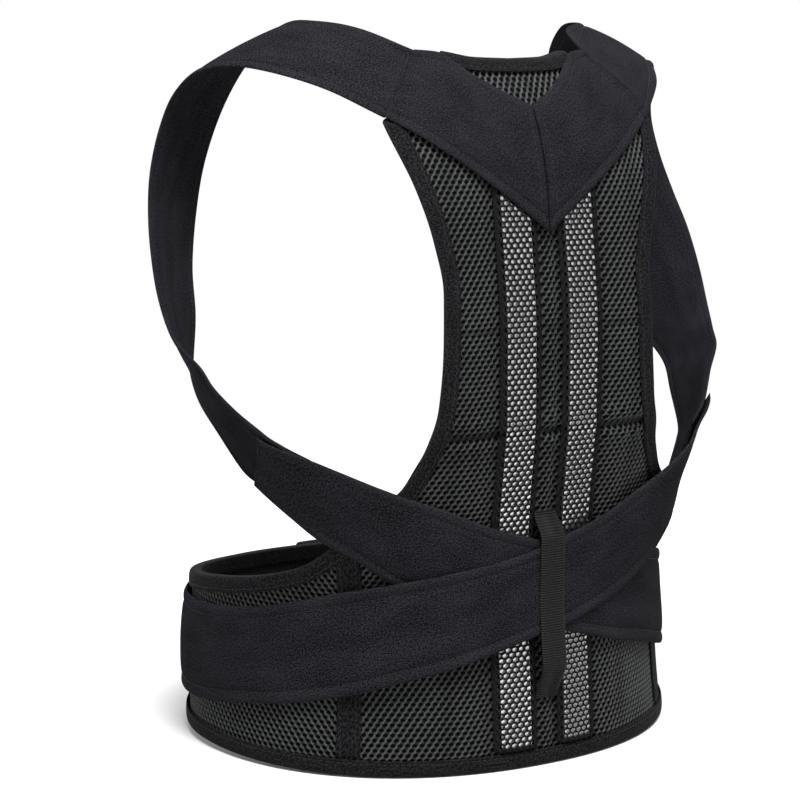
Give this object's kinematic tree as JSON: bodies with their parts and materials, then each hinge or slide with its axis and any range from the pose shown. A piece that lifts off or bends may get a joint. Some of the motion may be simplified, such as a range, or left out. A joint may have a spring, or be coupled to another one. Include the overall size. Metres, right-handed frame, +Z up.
{
  "type": "posture corrector",
  "caption": "Padded mesh back brace in its worn form, with shoulder straps, metal stays, a V yoke, crossing elastic bands and a waist belt.",
  "frame": {"origin": "midway between the shoulders, level with the crests of the shoulder straps, where the brace hangs on the wearer", "axes": "+Z up, +Y towards the wearer's front, +X to the wearer's right, so the back panel faces -Y"},
  "size_m": [0.388, 0.2744, 0.4274],
  "materials": {
    "velour": "napped elastic cloth",
    "spacer_mesh": "open knitted spacer mesh",
    "binding": "woven edge binding",
    "webbing": "ribbed webbing",
    "aluminium": "satin"
  },
  "bodies": {
    "root": {"back_panel": "spacer_mesh", "belt_wing_left": "spacer_mesh", "side_tape_left": "binding", "hem_binding_left": "binding", "rim_binding_left": "binding", "yoke_left": "velour", "stay_left": "aluminium", "stay_channel_left": "spacer_mesh", "shoulder_strap_left": "velour", "cross_band_left": "velour", "belt_wing_right": "spacer_mesh", "side_tape_right": "binding", "hem_binding_right": "binding", "rim_binding_right": "binding", "yoke_right": "velour", "stay_right": "aluminium", "stay_channel_right": "spacer_mesh", "shoulder_strap_right": "velour", "cross_band_right": "velour", "neck_binding": "binding", "keeper_loop": "webbing"}
  },
  "joints": []
}
